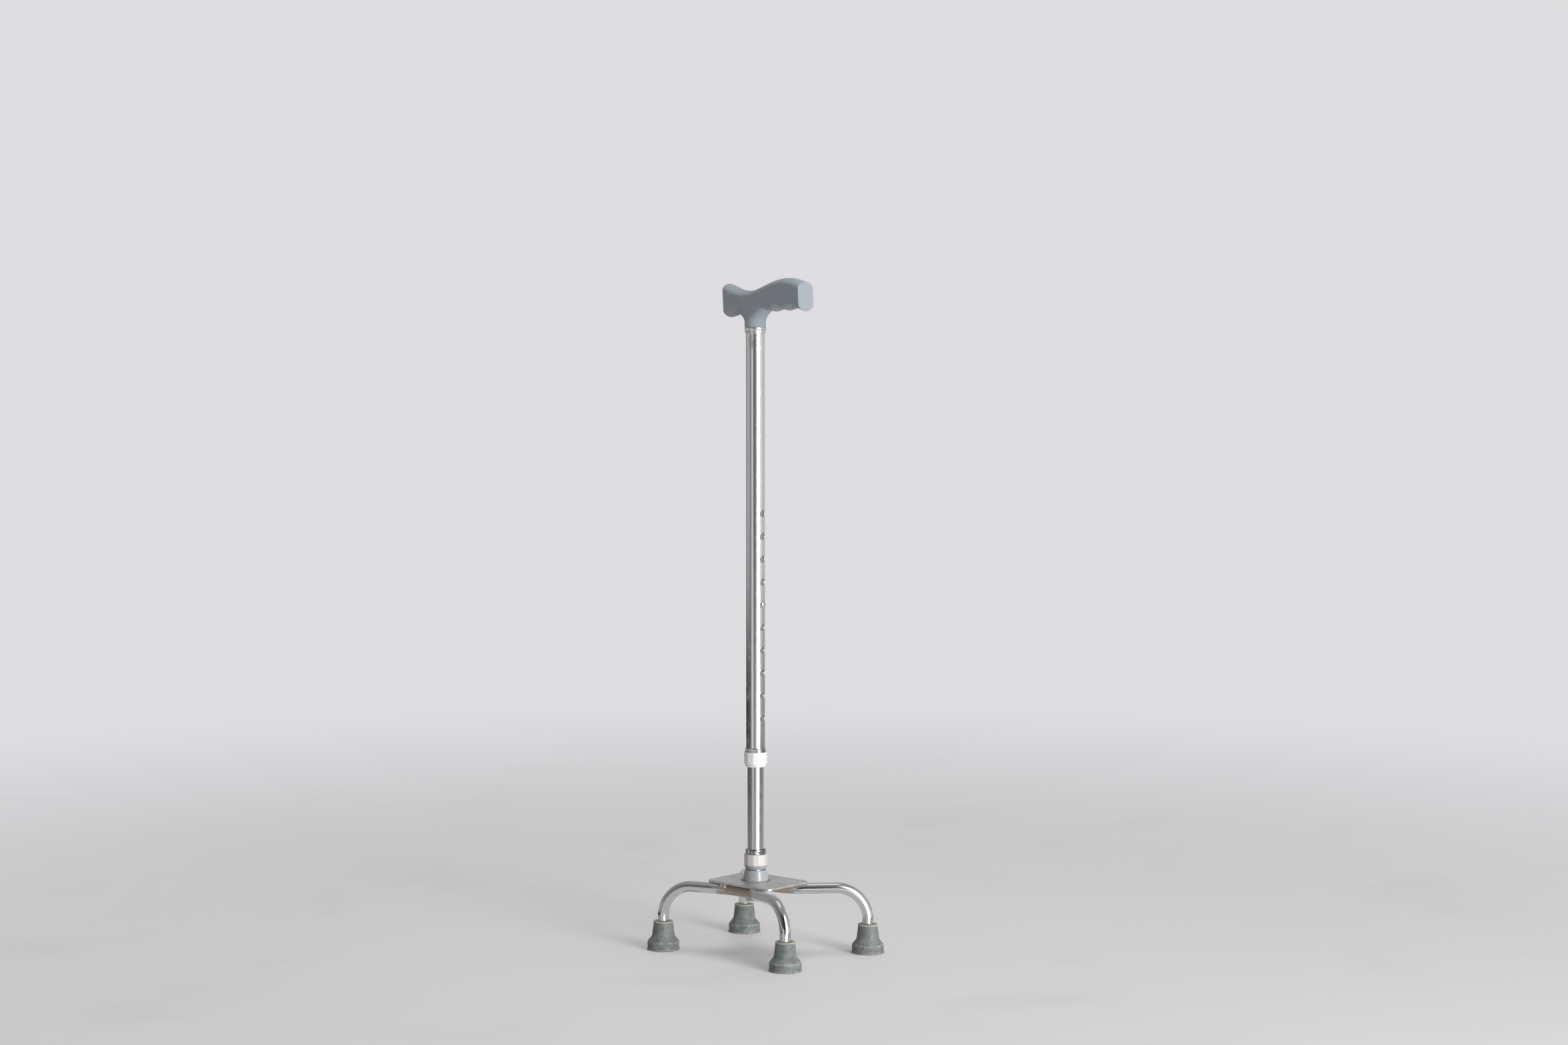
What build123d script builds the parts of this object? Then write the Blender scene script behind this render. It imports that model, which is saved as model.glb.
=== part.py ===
from build123d import *
import math
import os

# Quad walking cane. Millimetres, +Z up.
# The origin is on the floor, midway between the four feet. +X runs along the
# base's long side, the way the height holes and the handle's long end face.
# -Y is the user's side, which the shaft is nearer to.

# ---- driving dimensions ------------------------------------------------
CLEAR = 0.15                 # radial clearance of threads and loose fits
FIT = 0.05                   # radial clearance of a guided tube

SHAFT_Y = -16.0              # the shaft's axis is over the user's side of the base

NEAR_FOOT_X = 95.5           # half the spacing of the near feet along X
FAR_FOOT_X = 97.3            # half the spacing of the far feet along X
FOOT_Y = 72.0                # half the spacing of the feet along Y
LEG_R = 6.5                  # leg tube's outer radius
LEG_WALL = 1.4
LEG_TOP = 77.0               # height of the leg tubes' centre line
LEG_BEND = 38.0              # bend from an upright leg to its level arm
TIGHT_LEG_BEND = 35.0        # the same bend at the near right foot
WIDE_LEG_BEND = 43.0         # and at the far left foot
NEAR_KNEE = (15.0, -45.0)    # where the near tube's arms turn outwards
NEAR_KNEE_BEND = 60.0
FAR_KNEE = (33.0, 4.0)       # where the far tube's arms turn outwards
FAR_KNEE_BEND = 40.0

TIP_H = 34.0                 # rubber tip
TIP_TOP_R = 11.5
TIP_STEM_R = 13.2
TIP_SHOULDER_R = 18.8
TIP_FLANGE_R = 19.4
TIP_BORE_FLOOR = 5.0
WASHER_T = 1.5

PLATE_X = 98.4
PLATE_Y = 74.4
PLATE_T = 2.5
PLATE_CORNER = 9.0
PLATE_CENTRE = (4.0, -16.3)
PLATE_BOTTOM = LEG_TOP + LEG_R
PLATE_TOP = PLATE_BOTTOM + PLATE_T

WELD_R = 2.8                 # weld beads between the plate and the leg tubes
WELD_LENGTH = 11.0
WELD_DROP = 1.2              # depth of the beads' centre lines under the plate
NEAR_WELD_X = (-19.0, 29.0)  # along the plate's near edge
NEAR_WELD_Y = -51.7
FAR_WELD_X = (-10.0, 10.0)   # along the far tube's straight middle
FAR_WELD_Y = 8.9

SOCKET_R = 11.0              # tube through the plate that holds the shaft
SOCKET_IN = 10.1
SOCKET_BOTTOM = 63.5
SOCKET_TOP = 97.6
PLUG_TOP = 66.0

CONE_TOP = 98.6              # plastic cone that covers the socket's weld
CONE_BOTTOM_R = 15.2
CONE_TOP_R = 12.5

INNER_R = 9.5                # inner tube of the shaft
INNER_IN = 8.3
INNER_BOTTOM = 66.2
INNER_TOP = 524.0

OUTER_R = 11.0               # outer tube of the shaft
OUTER_IN = 9.8
OUTER_BOTTOM = 238.9
OUTER_TOP = 741.6            # the tube's end inside the handle's neck
HOLES = 10
HOLE_PITCH = 26.5
HOLE_R = 4.15
BUTTON_HOLE = 5              # the hole that holds the button, counted from the top
BUTTON_Z = 410.0

BUTTON_R = 4.0
BUTTON_FLANGE_R = 4.8
BUTTON_FLANGE_X = 5.2
BUTTON_SHANK_X = 6.4
BUTTON_DOME_X = 11.5
BUTTON_TIP_X = 14.0
SPRING_T = 0.6
SPRING_W = 6.0
SPRING_BACK_X = -7.6
SPRING_BOTTOM = 376.0
SPRING_TOP = 417.0

SEAT_BOTTOM = 99.3           # seat ring under the lower lock nut
SEAT_TOP = 103.5
SEAT_BOTTOM_R = 11.2
NUT_R = 13.25                # lock nuts, across their flats
NUT_SIDES = 12
LOWER_NUT_TOP = 117.0
LOWER_CAP_R = 12.1
LOWER_CAP_TOP = 122.8
THREAD_R = 11.6
LOWER_THREAD_TOP = 112.0
SLEEVE_IN = INNER_R + 0.1
MOUTH_R = 11.0               # conical seat for a collet in a sleeve's end
MOUTH_DEPTH = 4.0
COLLET_IN = INNER_R + CLEAR
COLLET_R = THREAD_R - 0.3
COLLET_NOSE = 2.8            # length of the collet's cone in the seat
COLLET_NOSE_R = (9.85, 10.75)
LOWER_COLLET_TOP = 115.3
UPPER_COLLET_BOTTOM = 222.3
NUT_BORE = 9.9               # the nuts' hole for the inner tube

UPPER_LIP_R = 12.2           # upper lock nut's lip and the ring over it
UPPER_NUT_BOTTOM = 219.8
UPPER_LIP_TOP = 223.7
UPPER_NUT_TOP = 237.2
UPPER_RING_BOTTOM = 237.4
UPPER_RING_TOP = 242.1
UPPER_THREAD_BOTTOM = 227.0

FERRULE_R = 12.6
FERRULE_BOTTOM = 723.9
GRIP_BOTTOM = 731.6          # underside of the handle's neck
GRIP_WIDTH = 23.4
GRIP_ROUND = 7.0             # rounding of the grip's long edges
NECK_R = 12.3
HANDLE_TWIST = -6.6          # the handle's heading, in degrees from +X
CORE_BOTTOM = 690.0
CORE_TOP = 757.0
PIN_R = 1.5
PIN_Z = 712.0
PIN_HEADING = -65.0

FEET = {
    "near_left": (-NEAR_FOOT_X, -FOOT_Y),
    "near_right": (NEAR_FOOT_X, -FOOT_Y),
    "far_left": (-FAR_FOOT_X, FOOT_Y),
    "far_right": (FAR_FOOT_X, FOOT_Y),
}

# Side view of the grip: places along it and heights above the neck's underside.
GRIP_CROWN = [
    (86.2, 52.7), (71.1, 56.4), (60.0, 57.2), (41.2, 54.9), (24.0, 49.5),
    (8.2, 44.2), (-6.3, 41.6), (-22.3, 42.6), (-36.2, 46.5), (-45.8, 49.4),
]
GRIP_FINGERS = [
    (-43.4, 10.4), (-34.0, 11.7), (-25.3, 14.6), (0, 17.0), (20.0, 19.0), (28.3, 19.5),
    (37.7, 18.5), (50.1, 21.6), (60.5, 20.1), (74.6, 23.2), (87.6, 19.7),
]
# The neck's flare: height, reach towards the long end and towards the short end.
NECK_STATIONS = [
    (0, 12.3, 12.3), (6.0, 12.3, 12.3), (8.5, 12.7, 13.1), (10.4, 13.7, 15.0),
    (12.3, 15.2, 17.2), (14.2, 16.9, 19.6), (16.2, 18.9, 22.6), (18.9, 22.3, 27.0),
]


# ---- helpers -----------------------------------------------------------
def ring(r_out, r_in, z0, z1, x=0.0, y=SHAFT_Y):
    """A tube or washer about a vertical axis; r_in of 0 makes it solid."""
    section = Circle(r_out) - Circle(r_in) if r_in else Circle(r_out)
    return Pos(x, y, z0) * extrude(section, z1 - z0)


def turned(points, x=0.0, y=SHAFT_Y):
    """A body of revolution about a vertical axis, from (radius, z) points."""
    section = make_face(Polyline(*[(r, 0, z) for r, z in points], close=True))
    return Pos(x, y, 0) * revolve(section, Axis.Z)


def rod_x(radius, x0, x1, z, y=SHAFT_Y):
    """A solid rod along X."""
    plane = Plane(origin=(x0, y, z), z_dir=(1, 0, 0))
    return extrude(plane * Circle(radius), x1 - x0)


def rounded(shape, radius, z, tolerance=0.05):
    """Fillet a turned shape's outermost circular edges at the height z."""
    edges = [e for e in shape.edges().filter_by(GeomType.CIRCLE) if abs(e.center().Z - z) < tolerance]
    widest = max(e.radius for e in edges)
    return fillet([e for e in edges if e.radius > widest - tolerance], radius)


# ---- base --------------------------------------------------------------
def leg_path(foot, knee, knee_bend, left_bend, right_bend):
    """Centre line of one bent tube: up from a foot, across and down again."""
    foot_x, foot_y = foot
    knee_x, knee_y = knee
    start = TIP_BORE_FLOOR + WASHER_T
    points = [
        (-foot_x, foot_y, start),
        (-foot_x, foot_y, LEG_TOP),
        (-knee_x, knee_y, LEG_TOP),
        (knee_x, knee_y, LEG_TOP),
        (foot_x, foot_y, LEG_TOP),
        (foot_x, foot_y, start),
    ]
    return FilletPolyline(*points, radius=[left_bend, knee_bend, knee_bend, right_bend])


def leg_solid(path, radius):
    plane = Plane(origin=path @ 0, z_dir=path % 0)
    return sweep(plane * Circle(radius), path=path)


def leg_tube(path):
    return leg_solid(path, LEG_R) - leg_solid(path, LEG_R - LEG_WALL)


def rubber_tip(x, y):
    """Rubber tip with a stem, a wide tread and two grooves underneath."""
    outline = [
        (0, 0.8), (5.0, 0.8), (6.0, 0), (9.0, 0), (10.0, 1.2), (12.0, 1.2), (13.0, 0),
        (TIP_FLANGE_R - 0.5, 0), (TIP_FLANGE_R, 0.5), (TIP_FLANGE_R, 1.5),
        (TIP_SHOULDER_R, 2.2), (TIP_SHOULDER_R, 9.0), (TIP_SHOULDER_R - 1.2, 10.2),
        (TIP_STEM_R + 0.6, 14.5), (TIP_STEM_R, 17.0), (TIP_TOP_R, 32.5),
        (TIP_TOP_R - 1.5, TIP_H), (LEG_R, TIP_H), (LEG_R, TIP_BORE_FLOOR), (0, TIP_BORE_FLOOR),
    ]
    return turned(outline, x, y)


def base_plate():
    x, y = PLATE_CENTRE
    blank = Pos(x, y, PLATE_BOTTOM) * extrude(RectangleRounded(PLATE_X, PLATE_Y, PLATE_CORNER), PLATE_T)
    plate = blank - ring(SOCKET_R, 0, PLATE_BOTTOM - 1, PLATE_TOP + 1)
    rims = [f.outer_wire().edges() for f in plate.faces().filter_by(Axis.Z)]
    return fillet([e for rim in rims for e in rim], 0.6)


def weld_beads(near_path, far_path):
    """Beads in the corners between the plate's underside and the tubes."""
    tubes = leg_solid(near_path, LEG_R) + leg_solid(far_path, LEG_R)
    places = [(x, NEAR_WELD_Y) for x in NEAR_WELD_X] + [(x, FAR_WELD_Y) for x in FAR_WELD_X]
    under_plate = Pos(0, 0, PLATE_BOTTOM - 10) * Box(300, 300, 20)
    beads = []
    for x, y in places:
        bead = rod_x(WELD_R, x - WELD_LENGTH / 2, x + WELD_LENGTH / 2, PLATE_BOTTOM - WELD_DROP, y)
        shape = (bead & under_plate) - tubes
        beads.append(shape.solids().sort_by(SortBy.VOLUME)[-1])
    return Compound(beads)


def socket_weld():
    """Weld bead round the socket tube, under the plate."""
    size = 2.5
    outline = [
        (SOCKET_R, PLATE_BOTTOM), (SOCKET_R + size, PLATE_BOTTOM),
        (SOCKET_R + size * 0.4, PLATE_BOTTOM - size * 0.6), (SOCKET_R, PLATE_BOTTOM - size),
    ]
    return turned(outline)


def socket_plug():
    """Cap pressed into the socket tube's lower end; the shaft stands on it."""
    flange = 1.2
    plug = ring(SOCKET_IN, 0, SOCKET_BOTTOM, PLUG_TOP)
    cap = rounded(ring(SOCKET_R, 0, SOCKET_BOTTOM - flange, SOCKET_BOTTOM), 0.9, SOCKET_BOTTOM - flange)
    return plug + cap


def base_cone():
    """Moulded cone that slips over the socket tube and hides its weld."""
    outline = [
        (SOCKET_R, PLATE_TOP), (CONE_BOTTOM_R, PLATE_TOP), (CONE_BOTTOM_R, PLATE_TOP + 0.8),
        (CONE_TOP_R, CONE_TOP), (SOCKET_R, CONE_TOP),
    ]
    return rounded(turned(outline), 0.8, CONE_TOP)


def thread_sleeve():
    """Threaded sleeve in the socket's mouth, with a conical seat for the collet."""
    bottom = SOCKET_TOP - 18
    outline = [
        (SLEEVE_IN, bottom), (SOCKET_IN, bottom), (SOCKET_IN, SOCKET_TOP), (SOCKET_R, SOCKET_TOP),
        (SOCKET_R, CONE_TOP), (SOCKET_IN, CONE_TOP), (SOCKET_IN, SEAT_TOP), (THREAD_R, SEAT_TOP),
        (THREAD_R, LOWER_THREAD_TOP), (MOUTH_R, LOWER_THREAD_TOP),
        (SLEEVE_IN, LOWER_THREAD_TOP - MOUTH_DEPTH),
    ]
    return turned(outline)


def seat_ring():
    """Tapered plastic ring that the lower lock nut closes down to."""
    outline = [
        (SOCKET_IN, SEAT_BOTTOM), (SEAT_BOTTOM_R, SEAT_BOTTOM), (NUT_R - 0.4, SEAT_TOP - 1.2),
        (NUT_R - 0.1, SEAT_TOP), (SOCKET_IN, SEAT_TOP),
    ]
    return turned(outline)


# ---- lower clamp -------------------------------------------------------
def split_collet(outline):
    """A turned collet with one slot, so that it can close on the inner tube."""
    slot = Pos(-INNER_R - 2, SHAFT_Y, 0) * Box(6, 2, 600)
    return turned(outline) - slot


def collet(seat, end):
    """A split collet whose nose lies in the seat at one height; the nut pushes its end."""
    into_seat = math.copysign(1, seat - end)
    nose = seat + into_seat * COLLET_NOSE
    shoulder = seat - into_seat * 0.3
    tip_r, root_r = COLLET_NOSE_R
    return split_collet([
        (COLLET_IN, nose), (tip_r, nose), (root_r, seat), (root_r, shoulder),
        (COLLET_R, shoulder), (COLLET_R, end), (COLLET_IN, end),
    ])


def nut_blank(z0, z1):
    """Twelve-sided body with a small chamfer at both rims."""
    prism = Pos(0, SHAFT_Y, z0) * extrude(RegularPolygon(NUT_R, NUT_SIDES, major_radius=False), z1 - z0)
    corner_r = NUT_R / math.cos(math.pi / NUT_SIDES)
    bevel = corner_r - NUT_R + 0.5
    barrel = turned([
        (0, z0), (corner_r - bevel, z0), (corner_r, z0 + bevel), (corner_r, z1 - bevel),
        (corner_r - bevel, z1), (0, z1),
    ])
    return prism & barrel


def lower_lock_nut():
    z0 = SEAT_TOP + 0.2
    bore = turned([
        (0, z0 - 1), (THREAD_R + CLEAR, z0 - 1), (THREAD_R + CLEAR, LOWER_COLLET_TOP),
        (NUT_BORE, LOWER_COLLET_TOP), (NUT_BORE, LOWER_NUT_TOP + 1), (0, LOWER_NUT_TOP + 1),
    ])
    return nut_blank(z0, LOWER_NUT_TOP) - bore


def lower_cap_ring():
    """Polished ring pressed on the lower nut, wider inside than the tube."""
    outline = [
        (10.6, LOWER_NUT_TOP), (LOWER_CAP_R, LOWER_NUT_TOP), (LOWER_CAP_R, LOWER_CAP_TOP),
        (10.8, LOWER_CAP_TOP), (10.6, LOWER_CAP_TOP - 1),
    ]
    return rounded(turned(outline), 0.7, LOWER_CAP_TOP)


# ---- shaft -------------------------------------------------------------
def inner_tube():
    tube = ring(INNER_R, INNER_IN, INNER_BOTTOM, INNER_TOP)
    return tube - rod_x(HOLE_R, 0, OUTER_R + 3, BUTTON_Z)


def glide_bush():
    """Bush in the inner tube's top that centres it in the outer tube."""
    outline = [
        (5, INNER_TOP - 10), (INNER_IN, INNER_TOP - 10), (INNER_IN, INNER_TOP),
        (OUTER_IN - FIT, INNER_TOP), (OUTER_IN - FIT, INNER_TOP + 2.5),
        (OUTER_IN - 0.8, INNER_TOP + 3.2), (5, INNER_TOP + 3.2),
    ]
    return turned(outline)


def snap_spring():
    """Leaf spring bent into a U; its front leg carries the button."""
    front = BUTTON_FLANGE_X - SPRING_T / 2
    back = SPRING_BACK_X + SPRING_T / 2
    bend = (front - back) / 2
    middle = (front + back) / 2
    turn = SPRING_BOTTOM + bend
    path = Wire([
        Line((front, SHAFT_Y, SPRING_TOP), (front, SHAFT_Y, turn)),
        ThreePointArc(
            (front, SHAFT_Y, turn), (middle, SHAFT_Y, SPRING_BOTTOM), (back, SHAFT_Y, turn)
        ),
        Line((back, SHAFT_Y, turn), (back, SHAFT_Y, SPRING_TOP - 8)),
    ])
    plane = Plane(origin=(front, SHAFT_Y, SPRING_TOP), x_dir=(1, 0, 0), z_dir=(0, 0, -1))
    return sweep(plane * Rectangle(SPRING_T, SPRING_W), path=path)


def snap_button():
    """Domed button with a flange that keeps it inside the inner tube."""
    sketch = make_face([
        Polyline(
            (BUTTON_DOME_X, BUTTON_R), (BUTTON_SHANK_X, BUTTON_R), (BUTTON_SHANK_X, BUTTON_FLANGE_R),
            (BUTTON_FLANGE_X, BUTTON_FLANGE_R), (BUTTON_FLANGE_X, 0), (BUTTON_TIP_X, 0),
        ),
        EllipticalCenterArc(
            (BUTTON_DOME_X, 0), BUTTON_TIP_X - BUTTON_DOME_X, BUTTON_R, start_angle=0, arc_size=90
        ),
    ])
    return Pos(0, SHAFT_Y, BUTTON_Z) * revolve(sketch, Axis.X)


# ---- outer tube, upper clamp and handle --------------------------------
def outer_tube():
    tube = ring(OUTER_R, OUTER_IN, OUTER_BOTTOM, OUTER_TOP)
    for index in range(1, HOLES + 1):
        z = BUTTON_Z + (BUTTON_HOLE - index) * HOLE_PITCH
        tube -= rod_x(HOLE_R, 0, OUTER_R + 3, z)
    return tube - handle_pin(PIN_R)


def upper_sleeve():
    """Sleeve crimped on the outer tube's lower end, threaded for the lock nut."""
    outline = [
        (MOUTH_R, UPPER_THREAD_BOTTOM), (THREAD_R, UPPER_THREAD_BOTTOM), (THREAD_R, UPPER_RING_BOTTOM),
        (UPPER_LIP_R, UPPER_RING_BOTTOM), (UPPER_LIP_R, UPPER_RING_TOP), (OUTER_R, UPPER_RING_TOP),
        (OUTER_R, OUTER_BOTTOM), (SLEEVE_IN, OUTER_BOTTOM),
        (SLEEVE_IN, UPPER_THREAD_BOTTOM + MOUTH_DEPTH),
    ]
    return rounded(turned(outline), 0.6, UPPER_RING_TOP)


def upper_lock_nut():
    lip = rounded(ring(UPPER_LIP_R, 0, UPPER_NUT_BOTTOM, UPPER_LIP_TOP), 1.6, UPPER_NUT_BOTTOM)
    bore = turned([
        (0, UPPER_NUT_BOTTOM - 1), (NUT_BORE, UPPER_NUT_BOTTOM - 1), (NUT_BORE, UPPER_COLLET_BOTTOM),
        (THREAD_R + CLEAR, UPPER_COLLET_BOTTOM), (THREAD_R + CLEAR, UPPER_NUT_TOP + 1),
        (0, UPPER_NUT_TOP + 1),
    ])
    return lip + nut_blank(UPPER_LIP_TOP, UPPER_NUT_TOP) - bore


def ferrule():
    collar = ring(FERRULE_R, OUTER_R, FERRULE_BOTTOM, GRIP_BOTTOM)
    return rounded(rounded(collar, 1.2, FERRULE_BOTTOM), 1.2, GRIP_BOTTOM)


def in_handle(shape):
    """Turn a shape drawn about the Z axis to the handle's heading, on the shaft."""
    return Pos(0, SHAFT_Y, GRIP_BOTTOM) * Rot(0, 0, HANDLE_TWIST) * shape


def grip_bar():
    """The bar of the grip: its side view drawn out to its width, long edges rounded."""
    crown = Spline(*[(x, 0, z) for x, z in GRIP_CROWN])
    fingers = Spline(*[(x, 0, z) for x, z in GRIP_FINGERS])
    outline = [crown, Line(crown @ 1, fingers @ 0), fingers, Line(fingers @ 1, crown @ 0)]
    bar = extrude(make_face(outline), GRIP_WIDTH / 2, both=True)
    long_edges = [e for e in bar.edges() if e.length > 100]
    return fillet(long_edges, GRIP_ROUND)


def neck_section(z, long_side, short_side):
    return Pos((long_side - short_side) / 2, 0, z) * Ellipse((long_side + short_side) / 2, NECK_R - z * 0.03)


def handle_grip():
    """Moulded handle: the grip bar on a neck that flares out of a round."""
    neck = loft([neck_section(*station) for station in NECK_STATIONS])
    grip = in_handle(grip_bar() + neck)
    socket = ring(OUTER_R, 0, GRIP_BOTTOM - 1, OUTER_TOP)
    spigot = ring(OUTER_IN, 0, GRIP_BOTTOM - 1, CORE_TOP)
    return grip - socket - spigot


def handle_core():
    """Spigot that joins the handle to the outer tube from inside."""
    return ring(OUTER_IN, 0, CORE_BOTTOM, CORE_TOP) - handle_pin(PIN_R)


def handle_pin(radius):
    """Cross pin through the outer tube and the spigot, staked at its ends."""
    reach = OUTER_R + 0.4
    rod = extrude(Plane.YZ * Circle(radius), reach, both=True)
    return Pos(0, SHAFT_Y, PIN_Z) * Rot(0, 0, PIN_HEADING) * rod


# ---- assembly ----------------------------------------------------------
def build():
    near_path = leg_path((NEAR_FOOT_X, -FOOT_Y), NEAR_KNEE, NEAR_KNEE_BEND, LEG_BEND, TIGHT_LEG_BEND)
    far_path = leg_path((FAR_FOOT_X, FOOT_Y), FAR_KNEE, FAR_KNEE_BEND, WIDE_LEG_BEND, LEG_BEND)
    nodes = {
        "base_plate": base_plate(),
        "leg_tube_near": leg_tube(near_path),
        "leg_tube_far": leg_tube(far_path),
        "plate_welds": weld_beads(near_path, far_path),
        "socket_tube": ring(SOCKET_R, SOCKET_IN, SOCKET_BOTTOM, SOCKET_TOP),
        "socket_weld": socket_weld(),
        "socket_plug": socket_plug(),
        "base_cone": base_cone(),
        "thread_sleeve": thread_sleeve(),
        "seat_ring": seat_ring(),
        "lower_collet": collet(LOWER_THREAD_TOP, LOWER_COLLET_TOP),
        "lower_lock_nut": lower_lock_nut(),
        "lower_cap_ring": lower_cap_ring(),
        "inner_tube": inner_tube(),
        "glide_bush": glide_bush(),
        "snap_spring": snap_spring(),
        "snap_button": snap_button(),
        "outer_tube": outer_tube(),
        "upper_sleeve": upper_sleeve(),
        "upper_collet": collet(UPPER_THREAD_BOTTOM, UPPER_COLLET_BOTTOM),
        "upper_lock_nut": upper_lock_nut(),
        "ferrule": ferrule(),
        "handle_grip": handle_grip(),
        "handle_core": handle_core(),
        "handle_pin": handle_pin(PIN_R),
    }
    for name, (x, y) in FEET.items():
        nodes[f"tip_{name}"] = rubber_tip(x, y)
        nodes[f"tip_washer_{name}"] = ring(LEG_R, 0, TIP_BORE_FLOOR, TIP_BORE_FLOOR + WASHER_T, x, y)
    return nodes


os.makedirs("parts", exist_ok=True)
for node, shape in build().items():
    export_step(shape, f"parts/{node}.step")
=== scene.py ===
import math

import bmesh
import bpy
from mathutils import Euler, Matrix, Vector


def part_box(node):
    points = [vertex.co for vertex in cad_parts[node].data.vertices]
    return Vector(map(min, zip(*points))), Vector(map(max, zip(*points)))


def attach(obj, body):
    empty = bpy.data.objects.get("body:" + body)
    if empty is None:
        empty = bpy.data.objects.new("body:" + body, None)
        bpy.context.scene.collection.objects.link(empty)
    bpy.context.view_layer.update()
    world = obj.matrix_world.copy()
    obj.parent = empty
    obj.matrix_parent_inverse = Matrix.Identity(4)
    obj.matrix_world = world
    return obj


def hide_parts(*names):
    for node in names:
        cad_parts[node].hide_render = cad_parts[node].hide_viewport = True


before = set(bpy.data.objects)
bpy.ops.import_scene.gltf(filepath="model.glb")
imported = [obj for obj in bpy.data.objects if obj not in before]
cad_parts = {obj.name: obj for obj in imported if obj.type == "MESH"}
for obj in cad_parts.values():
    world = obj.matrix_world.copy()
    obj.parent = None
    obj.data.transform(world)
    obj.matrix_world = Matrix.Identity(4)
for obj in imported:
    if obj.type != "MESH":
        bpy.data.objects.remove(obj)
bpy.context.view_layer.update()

MM = 0.001


# ---- places taken from the frame ---------------------------------------
def low(node):
    return Vector(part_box(node)[0]) / MM


def high(node):
    return Vector(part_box(node)[1]) / MM


def centre(node):
    return (low(node) + high(node)) / 2


def bottom_top(node):
    return low(node).z, high(node).z


AXIS = Vector((centre("outer_tube").x, centre("outer_tube").y))       # of the shaft, in millimetres
FEET = ("near_left", "near_right", "far_left", "far_right")
NECK_Z = low("handle_grip").z
HANDLE_TWIST = math.radians(-6.6)                                     # heading of the handle's long end


def add_object(name, data):
    item = bpy.data.objects.new(name, data)
    bpy.context.scene.collection.objects.link(item)
    return item


# ---- camera ------------------------------------------------------------
CAMERA_AZIMUTH = 41.9          # degrees from -Y towards +X
CAMERA_DISTANCE = 4.379        # metres from the shaft's axis, along the floor
CAMERA_HEIGHT = 0.8775
CAMERA_PITCH = 4.862           # degrees below the horizon
CAMERA_TURN = 0.433            # degrees to the right of the shaft's axis
CAMERA_LENS = 87.09            # millimetres on a 36 mm sensor


def make_camera():
    around = math.radians(CAMERA_AZIMUTH)
    data = bpy.data.cameras.new("camera")
    data.lens = CAMERA_LENS
    data.sensor_width = 36
    data.clip_end = 50
    camera = add_object("camera", data)
    camera.location = (
        AXIS.x * MM + CAMERA_DISTANCE * math.sin(around),
        AXIS.y * MM - CAMERA_DISTANCE * math.cos(around),
        CAMERA_HEIGHT,
    )
    turn = math.radians(CAMERA_AZIMUTH - CAMERA_TURN)
    camera.rotation_euler = Euler((math.radians(90 - CAMERA_PITCH), 0, turn))
    bpy.context.scene.camera = camera


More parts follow.
